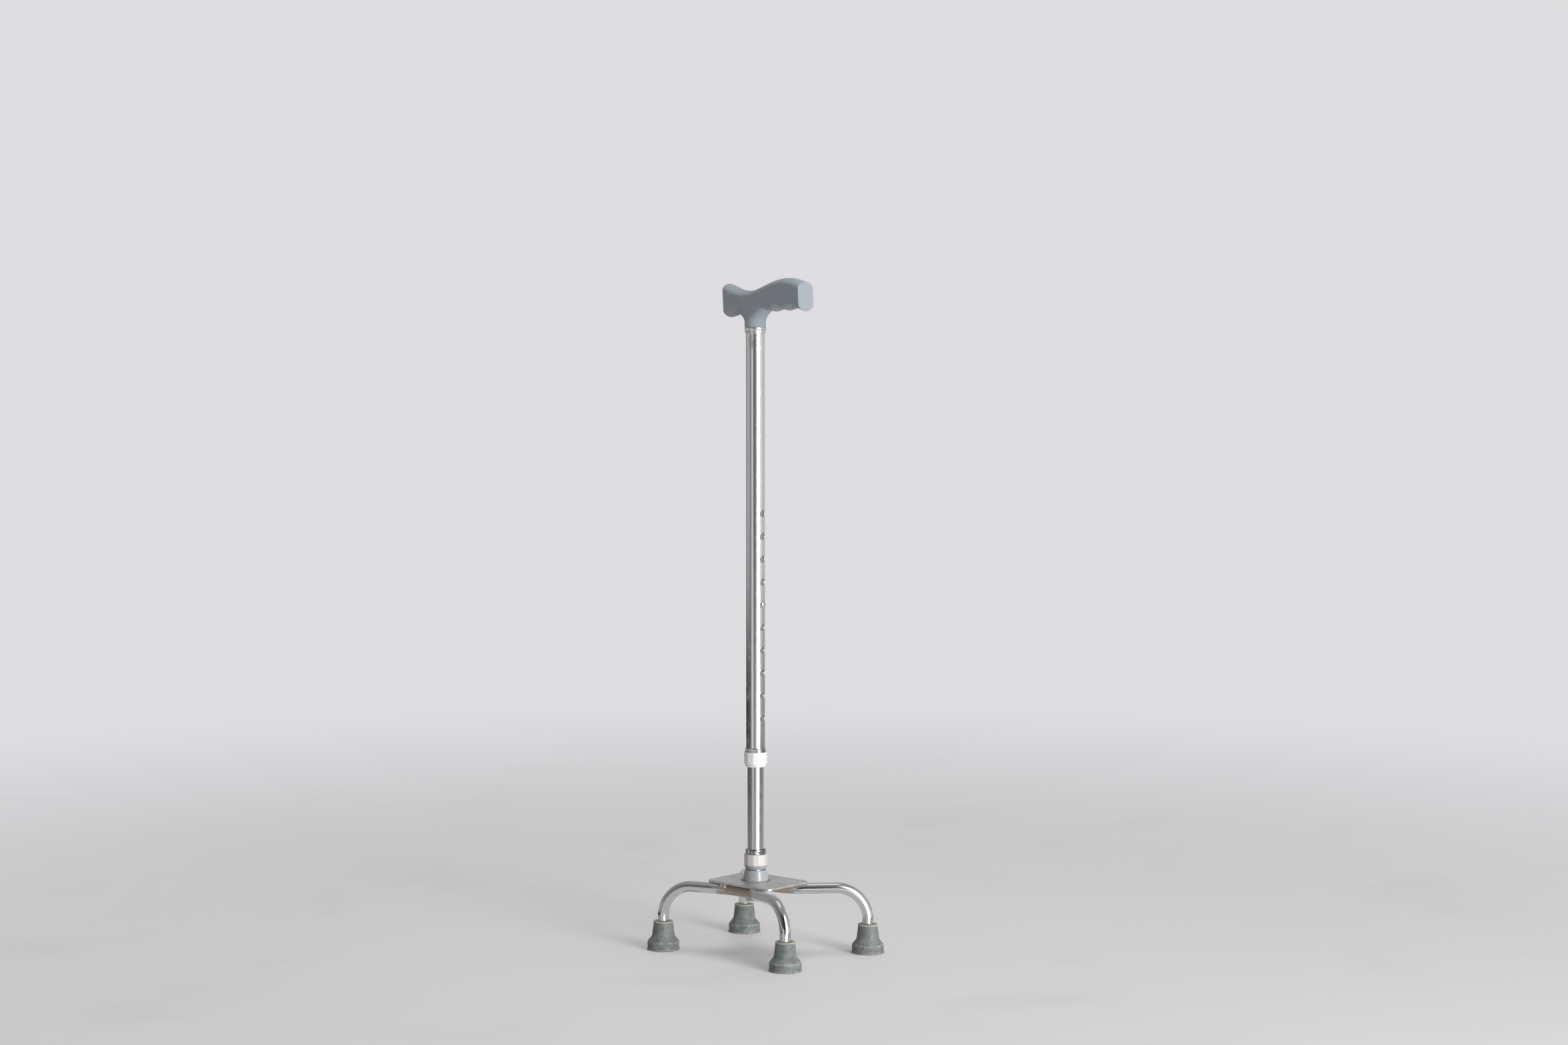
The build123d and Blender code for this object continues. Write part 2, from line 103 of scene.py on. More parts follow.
# ---- node helpers ------------------------------------------------------
class Nodes:
    """A node tree with short calls for the nodes that the materials use."""

    def __init__(self, tree):
        self.tree = tree
        tree.nodes.clear()

    def add(self, kind, **settings):
        node = self.tree.nodes.new(kind)
        for name, value in settings.items():
            setattr(node, name, value)
        return node

    def put(self, source, socket):
        """Link an output, or set a plain value."""
        if isinstance(source, bpy.types.NodeSocket):
            self.tree.links.new(source, socket)
        else:
            socket.default_value = source

    def math(self, operation, a, b=0.0, c=0.0, clamp=False):
        node = self.add("ShaderNodeMath", operation=operation, use_clamp=clamp)
        for value, socket in zip((a, b, c), node.inputs):
            self.put(value, socket)
        return node.outputs[0]

    def plus(self, a, b):
        return self.math("ADD", a, b)

    def minus(self, a, b):
        return self.math("SUBTRACT", a, b)

    def times(self, a, b):
        return self.math("MULTIPLY", a, b)

    def vector(self, operation, a, b):
        node = self.add("ShaderNodeVectorMath", operation=operation)
        self.put(a, node.inputs[0])
        self.put(b, node.inputs[1])
        return node.outputs["Value" if operation in ("DOT_PRODUCT", "DISTANCE", "LENGTH") else "Vector"]

    def step(self, value, start, end, to_start=0.0, to_end=1.0):
        """Smooth change from to_start to to_end as value goes from start to end."""
        node = self.add("ShaderNodeMapRange", interpolation_type="SMOOTHSTEP")
        for source, socket in zip((value, start, end, to_start, to_end), node.inputs):
            self.put(source, socket)
        return node.outputs[0]

    def band(self, value, rising, falling):
        """1 between two (start, end) changes of value, 0 outside them."""
        return self.times(self.step(value, *rising), self.step(value, *falling))

    def mix(self, factor, a, b, blend="MIX"):
        node = self.add("ShaderNodeMix", data_type="RGBA", blend_type=blend)
        self.put(factor, node.inputs["Factor"])
        for source, socket in ((a, node.inputs[6]), (b, node.inputs[7])):
            self.put((*source, 1) if isinstance(source, tuple) else source, socket)
        return node.outputs[2]

    def object_place(self, scale=(1, 1, 1), shift=(0, 0, 0)):
        """Object coordinates in millimetres, shifted first and then scaled."""
        texture = self.add("ShaderNodeTexCoord").outputs["Object"]
        moved = self.vector("ADD", texture, tuple(-s * MM for s in shift))
        return self.vector("MULTIPLY", moved, tuple(s / MM for s in scale))

    def from_axis(self):
        """Distance from the shaft's axis, in millimetres."""
        return self.vector("LENGTH", self.object_place((1, 1, 0), (AXIS.x, AXIS.y, 0)), (0.0, 0.0, 0.0))

    def noise(self, place, size, detail=2.0, roughness=0.5, distortion=0.0):
        """Noise with lumps of about size, in the units of place."""
        node = self.add("ShaderNodeTexNoise")
        self.put(place, node.inputs["Vector"])
        node.inputs["Scale"].default_value = 1 / size
        node.inputs["Detail"].default_value = detail
        node.inputs["Roughness"].default_value = roughness
        node.inputs["Distortion"].default_value = distortion
        return node.outputs["Fac"]

    def cells(self, place, size, randomness=1.0):
        """Distance to the nearest of many scattered points, in cell sizes."""
        node = self.add("ShaderNodeTexVoronoi")
        self.put(place, node.inputs["Vector"])
        node.inputs["Scale"].default_value = 1 / size
        node.inputs["Randomness"].default_value = randomness
        return node.outputs["Distance"]

    def bump(self, height, depth, strength=1.0, normal=None):
        """Bump whose height of 1 stands for depth, in millimetres."""
        node = self.add("ShaderNodeBump")
        node.inputs["Strength"].default_value = strength
        node.inputs["Distance"].default_value = depth * MM
        self.put(height, node.inputs["Height"])
        if normal:
            self.put(normal, node.inputs["Normal"])
        return node.outputs["Normal"]

    def spot(self, place, size, edge=0.35):
        """1 inside an upright ellipsoid at place, fading out at its surface."""
        scaled = self.object_place(tuple(1 / s for s in size), place)
        distance = self.vector("DISTANCE", scaled, (0.0, 0.0, 0.0))
        return self.step(distance, 1 + edge, 1 - edge)

    def most(self, *masks):
        result = masks[0]
        for mask in masks[1:]:
            result = self.math("MAXIMUM", result, mask)
        return result


def finish_material(nodes, **sockets):
    """Principled shader from sockets named as its inputs, with _ for a space."""
    shader = nodes.add("ShaderNodeBsdfPrincipled")
    for name, value in sockets.items():
        socket = shader.inputs[name.replace("_", " ")]
        nodes.put((*value, 1) if isinstance(value, tuple) else value, socket)
    output = nodes.add("ShaderNodeOutputMaterial")
    nodes.put(shader.outputs[0], output.inputs["Surface"])


def new_material(name):
    """A material, its nodes, and the object's own coordinates in millimetres."""
    material = bpy.data.materials.new(name)
    material.use_nodes = True
    nodes = Nodes(material.node_tree)
    return material, nodes, nodes.object_place()


def shade(colour, factor):
    return tuple(factor * c for c in colour)


# ---- materials ---------------------------------------------------------
DUST = (0.40, 0.35, 0.29)
RUST = (0.21, 0.115, 0.065)
HANDLE_GREY = (0.275, 0.306, 0.330)
NICKS = [
    # in the handle's user-side flank: place along it, height, width and height of the nick
    (-34.0, 38.6, 1.6, 0.45), (-32.6, 39.3, 0.9, 0.4), (-11.0, 33.2, 0.65, 0.75), (18.5, 40.0, 0.5, 0.5),
    (19.6, 27.5, 0.9, 0.35), (49.0, 49.0, 0.6, 0.4), (61.5, 49.2, 0.5, 0.5),
]


def handle_place(along, z, across=0.0):
    """A point of the handle, in millimetres of the frame."""
    x = along * math.cos(HANDLE_TWIST) - across * math.sin(HANDLE_TWIST)
    y = along * math.sin(HANDLE_TWIST) + across * math.cos(HANDLE_TWIST)
    return (AXIS.x + x, AXIS.y + y, NECK_Z + z)


def handle_plastic():
    material, n, place = new_material("moulded_grey_plastic")
    grain = n.noise(place, 0.42, 3.0, 0.65)
    pits = n.noise(place, 0.16, 2.0)
    cloud = n.noise(place, 22.0, 2.0)
    colour = n.mix(cloud, shade(HANDLE_GREY, 0.95), shade(HANDLE_GREY, 1.05))
    colour = n.mix(n.step(grain, 0.30, 0.72), n.mix(1.0, colour, (0.90, 0.90, 0.90), "MULTIPLY"), colour)
    scuff = n.noise(place, 0.5)
    nicks = n.most(*[n.spot(handle_place(along, z, -GRIP_HALF), (width, 1.0, height))
                     for along, z, width, height in NICKS])
    worn = n.times(nicks, n.step(scuff, 0.32, 0.55))
    speck = n.step(n.cells(place, 9.0), 0.035, 0.02)
    pale = n.times(n.most(worn, n.times(speck, 0.5)), 0.8)
    colour = n.mix(pale, colour, (0.72, 0.73, 0.72))
    roughness = n.step(grain, 0.2, 0.8, 0.50, 0.62)
    normal = n.bump(pits, 0.06, 0.5, n.bump(grain, 0.16, 0.6))
    finish_material(n, Base_Color=colour, Roughness=roughness, Normal=normal, Specular_IOR_Level=0.3)
    return material


def drawn_metal(name, base, roughness, streak=0.05, smudge=0.08, patch=None, bore=0.0, dull_from=0.0):
    """Tube metal: fine lines along its length, smudges, small scratches, a worn patch and a dull bore.

    Above dull_from the metal has no polish and its colour turns a darker grey.
    """
    material, n, place = new_material(name)
    lines = n.noise(n.object_place((1, 1, 0.012)), 0.35, 3.0, 0.7)
    smudges = n.noise(place, 14.0, 4.0, 0.6, 0.6)
    scratch_place = n.object_place((1, 1, 0.10))
    scratches = n.step(n.noise(scratch_place, 0.9, 1.0, 0.5, 1.2), 0.665, 0.70)
    rough = n.plus(n.step(smudges, 0.40, 0.72, roughness, roughness + smudge),
                   n.times(scratches, 0.12))
    darker = shade(base, 0.90)
    colour = n.mix(n.step(lines, 0.3, 0.75), darker, base)
    if patch:
        worn = n.times(n.spot(patch, (4.2, 4.2, 7.5), 0.5),
                      n.step(n.noise(place, 1.8, 5.0, 0.7), 0.44, 0.58))
        colour = n.mix(n.times(worn, 0.7), colour, (0.50, 0.47, 0.43))
        rough = n.plus(rough, n.times(worn, 0.22))
    metallic = 1.0
    if bore:
        from_axis = n.from_axis()
        inside = n.step(from_axis, bore + 0.7, bore + 0.3)
        metallic = n.minus(1.0, n.times(inside, 0.75))
        rough = n.plus(rough, n.times(inside, 0.45))
    if dull_from:
        split = n.add("ShaderNodeSeparateXYZ")
        n.put(place, split.inputs[0])
        dull = n.step(split.outputs["Z"], dull_from, dull_from + 4.0)
        # above dull_from the colour turns a darker grey
        darker_grey = n.mix(n.noise(place, 4.0, 4.0), (0.23, 0.222, 0.214), (0.34, 0.332, 0.324))
        colour = n.mix(dull, colour, darker_grey)
        metallic = n.minus(1.0, n.times(dull, 0.55))
        rough = n.plus(rough, n.times(dull, 0.32))
    normal = n.bump(lines, streak * 0.1, 0.5)
    normal = n.bump(scratches, -0.02, 0.35, normal)
    finish_material(n, Base_Color=colour, Metallic=metallic, Roughness=rough, Normal=normal)
    return material


def leg_chrome():
    """Chrome of the bent legs, brown where they pass under the plate: partly rust-brown dust, partly painted
    shade and a painted reflection of the plate's rusty underside.
    """
    material, n, place = new_material("leg_chrome_dust_and_painted_shade")
    smudges = n.noise(place, 11.0, 4.0, 0.6, 0.4)
    fine = n.noise(place, 0.35, 3.0)
    under = n.object_place((1 / 46, 1 / 58, 1 / 60), (centre("base_plate").x, centre("base_plate").y, 77))
    reach = n.vector("DISTANCE", under, (0.0, 0.0, 0.0))
    ragged = n.plus(reach, n.times(n.minus(n.noise(place, 9.0, 5.0, 0.62), 0.5), 0.9))
    # brown film under the plate: partly real dust, partly painted shade and a painted reflection of the
    # plate's underside
    under_plate_dust_and_painted_shade = n.step(ragged, 1.02, 0.80)
    specks = n.step(n.cells(place, 1.7), 0.24, 0.12)
    rusty = n.times(specks, n.step(n.noise(place, 12.0, 3.0), 0.52, 0.72))
    # film colour: dust, and painted shade under the plate
    dust = n.mix(n.noise(place, 5.0, 4.0), (0.30, 0.25, 0.205), (0.46, 0.40, 0.345))
    dust = n.mix(n.step(n.noise(place, 2.2, 4.0, 0.7), 0.58, 0.72), dust, RUST)
    colour = n.mix(under_plate_dust_and_painted_shade, (0.74, 0.74, 0.745), dust)
    colour = n.mix(n.times(rusty, 0.55), colour, RUST)
    cover = n.times(under_plate_dust_and_painted_shade, 0.50)
    metallic = n.minus(1.0, cover)
    rough = n.plus(n.step(smudges, 0.42, 0.75, 0.07, 0.15), n.times(under_plate_dust_and_painted_shade, 0.22))
    normal = n.bump(n.noise(place, 3.0, 3.0), 0.02, 0.25, n.bump(fine, 0.03, 0.12))
    finish_material(n, Base_Color=colour, Metallic=metallic, Roughness=rough, Normal=normal)
    return material


def plate_chrome():
    """Worn, pitted plating: grey haze, rust specks and a brown ring round the cone."""
    material, n, place = new_material("pitted_plate")
    from_axis = n.from_axis()
    haze = n.noise(place, 16.0, 5.0, 0.62)
    grit = n.noise(place, 0.8, 4.0, 0.7)
    field = n.step(n.noise(place, 15.0, 3.0), 0.36, 0.62)
    big_specks = n.step(n.cells(place, 6.0), 0.30, 0.20)
    specks = n.times(n.step(n.cells(place, 3.1), 0.34, 0.20), field)
    fine_specks = n.times(n.step(n.cells(place, 1.5), 0.32, 0.16), n.step(grit, 0.46, 0.60))
    ring_noise = n.times(n.minus(n.noise(place, 6.0, 5.0, 0.7), 0.5), 9.0)
    ring = n.step(n.plus(from_axis, ring_noise), 20.5, 16.8)
    blotch_zone = n.step(from_axis, 44.0, 20.0)
    blotches = n.times(n.step(n.noise(place, 5.5, 5.0, 0.70), 0.55, 0.66), blotch_zone)
    rust = n.most(ring, n.times(blotches, 0.85), n.times(big_specks, 0.85),
                  n.times(specks, 0.60), n.times(fine_specks, 0.35))
    metal = n.mix(n.step(haze, 0.34, 0.66), (0.50, 0.495, 0.49), (0.70, 0.695, 0.695))
    rust_colour = n.mix(n.noise(place, 2.4, 3.0), (0.15, 0.095, 0.065), (0.33, 0.215, 0.15))
    colour = n.mix(n.times(rust, 0.85), metal, rust_colour)
    metallic = n.minus(0.85, n.times(rust, 0.75))
    rough = n.plus(n.step(haze, 0.3, 0.7, 0.26, 0.40), n.times(rust, 0.3))
    pits = n.minus(1.0, n.most(big_specks, specks, fine_specks))
    normal = n.bump(pits, 0.10, 0.7, n.bump(n.noise(place, 5.0, 3.0), 0.10, 0.35, n.bump(grit, 0.04, 0.4)))
    finish_material(n, Base_Color=colour, Metallic=metallic, Roughness=rough, Normal=normal)
    return material


def worn_nut(name, base, metallic, roughness, patch, patch_colour):
    """Lock nut: satin metal with fine brushing, and one patch worn to another colour."""
    material, n, place = new_material(name)
    brushed = n.noise(n.object_place((1, 1, 0.06)), 0.55, 2.0, 0.6)
    cloud = n.noise(place, 4.5, 4.0, 0.6)
    worn = n.times(n.spot(patch, (6.0, 6.0, 3.6), 0.5), n.step(n.noise(place, 2.4, 4.0, 0.6), 0.36, 0.62))
    grime = n.times(n.step(n.noise(n.object_place((1, 1, 0.5)), 3.0, 5.0, 0.68), 0.54, 0.72), 0.35)
    colour = n.mix(n.step(brushed, 0.3, 0.7), shade(base, 0.93), base)
    colour = n.mix(grime, colour, shade(base, 0.72))
    colour = n.mix(n.times(worn, 0.75), colour, patch_colour)
    cover = n.minus(metallic, n.times(worn, 0.5 * metallic))
    rough = n.step(cloud, 0.35, 0.7, roughness, roughness + 0.10)
    finish_material(n, Base_Color=colour, Metallic=cover, Roughness=rough, Normal=n.bump(brushed, 0.012, 0.4))
    return material


def turned_metal(name, base, roughness, lines=0.14, depth=0.012, dents=0.0):
    """Polished ring: faint lines round it, soft wear and shallow dents; with dents, upright dark patches are
    painted in as a reflection.
    """
    material, n, place = new_material(name)
    turned = n.noise(n.object_place((0.05, 0.05, 1)), lines, 2.0, 0.6)
    cloud = n.noise(place, 4.0, 4.0, 0.6)
    scuffs = n.step(n.noise(n.object_place((1, 1, 2.5)), 0.9, 2.0), 0.64, 0.70)
    colour = n.mix(n.step(cloud, 0.35, 0.7), shade(base, 0.90), base)
    rough = n.plus(n.step(cloud, 0.4, 0.7, roughness, roughness + 0.10), n.times(scuffs, 0.18))
    normal = n.bump(turned, depth, 0.5)
    if dents:
        dents_and_painted_reflection = n.noise(n.object_place((1, 1, 0.15)), 3.4, 1.0)
        # dark upright patches in the colour are a painted reflection of dark parts of the room; the same mask
        # also bumps real shallow dents
        colour = n.mix(n.step(dents_and_painted_reflection, 0.54, 0.46), colour, shade(base, 0.30))
        normal = n.bump(dents_and_painted_reflection, dents, 1.0, normal)
    finish_material(n, Base_Color=colour, Metallic=1.0, Roughness=rough, Normal=normal)
    return material


def smooth_plastic(name, base, roughness, coat=0.0, dimple=None):
    """Moulded plastic with faint flow marks; dimple is the place of a small pit whose darker colour is
    painted shade.
    """
    material, n, place = new_material(name)
    flow = n.noise(place, 7.0, 3.0, 0.55, 0.8)
    fine = n.noise(place, 0.5, 3.0)
    colour = n.mix(flow, shade(base, 0.93), shade(base, 1.07))
    dust = n.times(n.step(n.noise(place, 1.1, 4.0, 0.7), 0.66, 0.76), 0.35)
    colour = n.mix(dust, colour, DUST)
    height = fine
    if dimple:
        pit = n.spot(dimple, (0.55, 0.55, 0.55))
        # darker colour in the pit: painted shade
        colour = n.mix(pit, colour, shade(base, 0.35))
        height = n.minus(n.times(fine, 0.1), pit)
    finish_material(n, Base_Color=colour, Roughness=n.step(flow, 0.3, 0.7, roughness, roughness + 0.06),
                    Coat_Weight=coat, Coat_Roughness=0.08, Normal=n.bump(height, 0.03, 0.2))
    return material


def tip_rubber():
    """Grey-green rubber: dusty rims, brushed smears, darker stem, fine skin grain."""
    material, n, place = new_material("grey_rubber")
    split = n.add("ShaderNodeSeparateXYZ")
    n.put(place, split.inputs[0])
    z = split.outputs["Z"]
    cloud = n.step(n.noise(place, 9.0, 4.0, 0.6), 0.36, 0.64)
    base = n.mix(cloud, (0.108, 0.124, 0.119), (0.172, 0.190, 0.183))
    wobble = n.times(n.minus(n.noise(place, 3.5, 4.0), 0.5), 2.4)
    level = n.plus(z, wobble)
    patchy = n.step(n.noise(place, 3.2, 4.0, 0.7), 0.40, 0.62)
    shoulder = n.times(n.step(level, 8.4, 9.3), n.step(level, 11.4, 9.9))
    tread = n.step(level, 2.8, 1.0)
    pale = n.times(n.most(shoulder, tread), patchy)
    top_rim = n.times(n.step(level, 31.4, 33.0), n.step(patchy, 0.0, 1.0, 0.45, 1.0))
    band = n.step(z, 11.0, 8.0)
    brushed = n.noise(n.object_place((1, 1, 2.6)), 6.0, 6.0, 0.72, 0.8)
    smears = n.times(n.step(brushed, 0.53, 0.70), n.step(band, 0.0, 1.0, 0.35, 0.95))
    streak = n.noise(n.object_place((1, 1, 0.35)), 6.5, 5.0, 0.66, 0.5)
    dirt = n.times(n.step(streak, 0.53, 0.68), n.step(z, 10.0, 20.0, 0.20, 0.75))
    colour = n.mix(dirt, base, (0.245, 0.228, 0.185))
    for mask, tint in ((smears, (0.285, 0.298, 0.275)), (pale, (0.375, 0.365, 0.305)),
                       (top_rim, (0.42, 0.405, 0.33)), (n.step(z, 0.7, 0.1), (0.20, 0.155, 0.12))):
        colour = n.mix(n.times(mask, 0.70), colour, tint)
    grain = n.noise(place, 0.34, 3.0, 0.6)
    lumps = n.noise(place, 4.5, 3.0)
    normal = n.bump(brushed, 0.16, 0.35, n.bump(lumps, 0.30, 0.5, n.bump(grain, 0.06, 0.5)))
    finish_material(n, Base_Color=colour, Roughness=n.step(dirt, 0, 1, 0.50, 0.72), Normal=normal,
                    Specular_IOR_Level=0.5)
    return material


def weld_metal():
    """Dull weld beads, dusted pale with rust at their edges."""
    material, n, place = new_material("dusty_weld")
    colour = n.mix(n.step(n.noise(place, 2.6, 5.0, 0.7), 0.38, 0.62), (0.30, 0.24, 0.18), (0.56, 0.53, 0.47))
    colour = n.mix(n.step(n.noise(place, 1.1, 4.0, 0.7), 0.60, 0.70), colour, RUST)
    normal = n.bump(n.noise(place, 0.9, 4.0, 0.7), 0.20, 0.6)
    finish_material(n, Base_Color=colour, Metallic=0.25, Roughness=0.62, Normal=normal)
    return material


def paper_floor():
    """Pale studio paper with faint smudges, fading into the background far away."""
    material, n, place = new_material("studio_paper")
    far = n.vector("LENGTH", n.object_place((0.001, 0.001, 0)), (0.0, 0.0, 0.0))
    smudge = n.step(n.noise(place, 260.0, 6.0, 0.6, 0.6), 0.50, 0.75)
    colour = n.mix(n.times(smudge, 0.45), (0.690, 0.677, 0.682), (0.610, 0.596, 0.588))
    shader = n.add("ShaderNodeBsdfPrincipled")
    n.put(colour, shader.inputs["Base Color"])
    shader.inputs["Roughness"].default_value = 0.6
    shader.inputs["Specular IOR Level"].default_value = 0.2
    glow = n.add("ShaderNodeEmission")
    glow.inputs["Color"].default_value = (*BACKGROUND, 1)
    blend = n.add("ShaderNodeMixShader")
    n.put(n.step(far, *FLOOR_FADE), blend.inputs[0])
    n.put(shader.outputs[0], blend.inputs[1])
    n.put(glow.outputs[0], blend.inputs[2])
    output = n.add("ShaderNodeOutputMaterial")
    n.put(blend.outputs[0], output.inputs["Surface"])
    return material


# ---- studio ------------------------------------------------------------
BACKGROUND = (0.735, 0.72, 0.742)
KEY_AZIMUTH = 43.0             # degrees to the camera's right
KEY_DISTANCE = 2.4             # metres
KEY_HEIGHT = 0.38
KEY_SIZE = 0.80
KEY_POWER = 30.0               # watts
TOP_HEIGHT = 2.5
TOP_SIZE = 1.4
TOP_POWER = 20.0
CEILING = 0.34
OVERHEAD = 1.05
FLOOR_LIGHT = 0.52
SOFTBOX = 13.0
STAND = 0.02                   # a dark stand, seen only in the metal

# Where one part of the room changes into the next: by rise, the height of a
# direction from -1 straight down to 1 straight up, and by turn, from 0 to 1.
TO_LOW = (-0.09, -0.135)
TO_FLOOR = (-0.148, -0.172)
TO_UNDERFOOT = (-0.20, -0.32)
TO_HIGH = (0.03, 0.09)
TO_CEILING = (0.66, 0.80)
TO_OVERHEAD = (0.955, 0.980)
STAND_SIDES = ((0.660, 0.676), (0.775, 0.755))
STAND_ENDS = ((-0.144, -0.147), (-0.172, -0.157))
SOFTBOX_SIDES = ((0.576, 0.584), (0.626, 0.618))
SOFTBOX_TOP = (0.38, 0.33)
FLOOR_SIZE = 60                # metres
FLOOR_FADE = (0.45, 2.3)       # metres from the cane where the floor becomes the background

# Brightness of the room against the angle from the camera's side of the cane,
# in degrees, positive to the camera's right: above eye height, at eye height,
# a little below it, and on the floor a few steps away.
ROOM_HIGH = [
    (-180, 0.50), (-150, 0.34), (-110, 0.28), (-80, 0.20), (-57, 0.16), (-40, 0.12), (-28, 0.05),
    (-10, 0.025), (8, 0.025), (16, 0.30), (24, 1.5), (30, 3.2), (48, 3.2), (60, 1.0), (80, 0.50),
    (120, 0.42), (180, 0.50),
]
ROOM = [
    (-180, 0.55), (-150, 0.30), (-110, 0.42), (-85, 0.44), (-68, 0.28), (-57, 0.24), (-47, 0.50),
    (-38, 0.80), (-29, 0.52), (-22, 0.17), (-13, 0.13), (-5, 0.17), (3, 0.24), (9, 0.32),
    (14, 0.44), (19, 0.9), (25, 2.6), (30, SOFTBOX), (45, SOFTBOX), (53, 1.2), (70, 0.80), (90, 0.68),
    (120, 0.56), (180, 0.55),
]
ROOM_LOW = [
    (-180, 0.46), (-155, 0.10), (-135, 0.02), (-85, 0.02), (-68, 0.04), (-57, 0.18), (-47, 0.62),
    (-38, 0.84), (-29, 0.56), (-21, 0.28), (-13, 0.26), (-5, 0.32), (3, 0.40), (10, 0.60),
    (16, 1.1), (23, 3.0), (29, SOFTBOX), (41, SOFTBOX), (50, 0.95), (64, 0.75), (75, 0.40), (95, 0.30),
    (120, 0.28), (180, 0.46),
]
ROOM_FLOOR = [
    (-180, 0.55), (-146, 0.34), (-110, 0.33), (-70, 0.32), (-55, 0.46), (-38, 0.54), (-20, 0.56), (-5, 0.60),
    (4, 0.80), (12, 1.9), (28, 2.6), (36, 1.5), (48, 0.62), (58, 0.44), (80, 0.50), (110, 0.50), (180, 0.55),
]


def brightness_ramp(n, turn, stops):
    """Room brightness as a ramp over the whole turn; the ramp holds fractions of SOFTBOX."""
    ramp = n.add("ShaderNodeValToRGB")
    n.put(turn, ramp.inputs[0])
    elements = ramp.color_ramp.elements
    for angle, value in stops[1:-1]:
        elements.new((angle + 180) / 360).color = (*(3 * [value / SOFTBOX]), 1)
    for element, (angle, value) in ((elements[0], stops[0]), (elements[len(elements) - 1], stops[-1])):
        element.color = (*(3 * [value / SOFTBOX]), 1)
    return n.mix(1.0, ramp.outputs[0], (SOFTBOX, SOFTBOX, SOFTBOX * 1.01), "MULTIPLY")


def make_room():
    world = bpy.data.worlds.new("studio")
    bpy.context.scene.world = world
    world.use_nodes = True
    n = Nodes(world.node_tree)
    towards = n.add("ShaderNodeTexCoord").outputs["Generated"]
    around = math.radians(CAMERA_AZIMUTH)
    ahead = n.vector("DOT_PRODUCT", towards, (math.sin(around), -math.cos(around), 0.0))
    right = n.vector("DOT_PRODUCT", towards, (math.cos(around), math.sin(around), 0.0))
    turn = n.math("MULTIPLY_ADD", n.math("ARCTAN2", right, ahead), 1 / math.tau, 0.5)
    rise = n.vector("DOT_PRODUCT", towards, (0.0, 0.0, 1.0))
    eye = brightness_ramp(n, turn, ROOM)
    colour = n.mix(n.step(rise, *TO_LOW), eye, brightness_ramp(n, turn, ROOM_LOW))
    colour = n.mix(n.step(rise, *TO_FLOOR), colour, brightness_ramp(n, turn, ROOM_FLOOR))
    stand = n.times(n.band(turn, *STAND_SIDES), n.band(rise, *STAND_ENDS))
    colour = n.mix(stand, colour, (STAND, STAND, STAND))
    softbox = n.times(n.band(turn, *SOFTBOX_SIDES), n.step(rise, *SOFTBOX_TOP))
    above = n.times(n.step(rise, *TO_HIGH), n.minus(1.0, softbox))
    colour = n.mix(above, colour, brightness_ramp(n, turn, ROOM_HIGH))
    for change, light in ((TO_CEILING, CEILING), (TO_OVERHEAD, OVERHEAD), (TO_UNDERFOOT, FLOOR_LIGHT)):
        colour = n.mix(n.step(rise, *change), colour, (light, light, light))
    seen = n.add("ShaderNodeLightPath").outputs["Is Camera Ray"]
    colour = n.mix(seen, colour, BACKGROUND)
    background = n.add("ShaderNodeBackground")
    n.put(colour, background.inputs["Color"])
    output = n.add("ShaderNodeOutputWorld")
    n.put(background.outputs[0], output.inputs["Surface"])
    world.cycles.sampling_method = "MANUAL"
    world.cycles.sample_map_resolution = 1024
    bpy.context.scene.view_settings.view_transform = "Standard"


def make_area_light(name, size, power, place, turn):
    """Soft square light that shades surfaces but doesn't show in polished metal."""
    data = bpy.data.lights.new(name, "AREA")
    data.shape = "SQUARE"
    data.size = size
    data.energy = power
    light = add_object(name, data)
    light.location = place
    light.rotation_euler = Euler(turn)
    light.visible_glossy = False


def make_lights():
    """Key light to the camera's right, low enough to reach under the handle, and a light overhead."""
    around = math.radians(CAMERA_AZIMUTH + KEY_AZIMUTH)
    x, y = AXIS * MM
    key_place = (x + KEY_DISTANCE * math.sin(around), y - KEY_DISTANCE * math.cos(around), KEY_HEIGHT)
    make_area_light("key", KEY_SIZE, KEY_POWER, key_place, (math.radians(90), 0, around))
    make_area_light("top", TOP_SIZE, TOP_POWER, (x, y, TOP_HEIGHT), (0, 0, 0))


def make_floor():
    bpy.ops.mesh.primitive_plane_add(size=FLOOR_SIZE, location=(0, 0, 0))
    floor = bpy.context.object
    floor.name = "floor"
    floor.data.materials.append(paper_floor())
    floor.visible_glossy = False


# ---- mesh helpers ------------------------------------------------------
def place_piece(name, mesh, body, slot, material, *nodes):
    """A finished piece: in the scene, riding on its body, in place of its CAD nodes."""
    piece = add_object(name, mesh)
    mesh.materials.clear()
    mesh.materials.append(material)
    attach(piece, body)
    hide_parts(*nodes)
    return piece


def make_mesh(name, vertices, faces, sharp_angle=30):
    mesh = bpy.data.meshes.new(name)
    mesh.from_pydata([Vector(v) * MM for v in vertices], [], faces)
    shape = bmesh.new()
    shape.from_mesh(mesh)
    bmesh.ops.remove_doubles(shape, verts=shape.verts, dist=1e-7)
    bmesh.ops.recalc_face_normals(shape, faces=shape.faces)
    shape.to_mesh(mesh)
    shape.free()
    mesh.shade_smooth()
    mesh.set_sharp_from_angle(angle=math.radians(sharp_angle))
    return mesh


def even_normals(piece):
    """Keep flat faces flat beside their rounded edges."""
    modifier = piece.modifiers.new("even_normals", "WEIGHTED_NORMAL")
    modifier.keep_sharp = True


